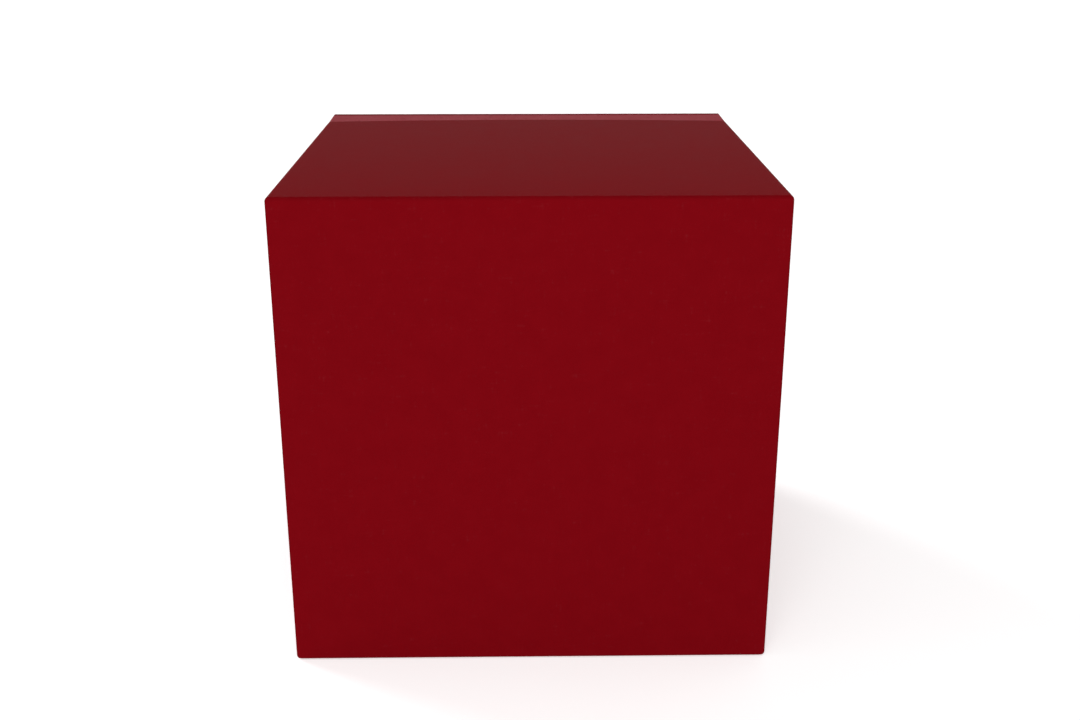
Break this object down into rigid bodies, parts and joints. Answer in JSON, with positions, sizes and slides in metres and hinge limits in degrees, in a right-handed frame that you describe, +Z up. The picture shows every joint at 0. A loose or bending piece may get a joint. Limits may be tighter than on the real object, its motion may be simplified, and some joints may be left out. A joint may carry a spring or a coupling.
{
  "type": "cue chalk cube",
  "caption": "Pressed cue chalk cube with a round dish in its bare face, a paper label wrapped round its sides and a square paper label over its base.",
  "frame": {"origin": "middle of the cube's footprint, on the surface that it lies on", "axes": "+Z up from the labelled side that the cube lies on, +Y out of the dished face, -Y out of the base label, +X to the right as the base label is faced"},
  "size_m": [0.0223, 0.0222, 0.0222],
  "materials": {
    "chalk": "matte",
    "side_label_paper": "satin",
    "base_label_paper": "satin"
  },
  "bodies": {
    "root": {"chalk_block": "chalk", "side_label": "side_label_paper", "base_label": "base_label_paper"}
  },
  "joints": []
}
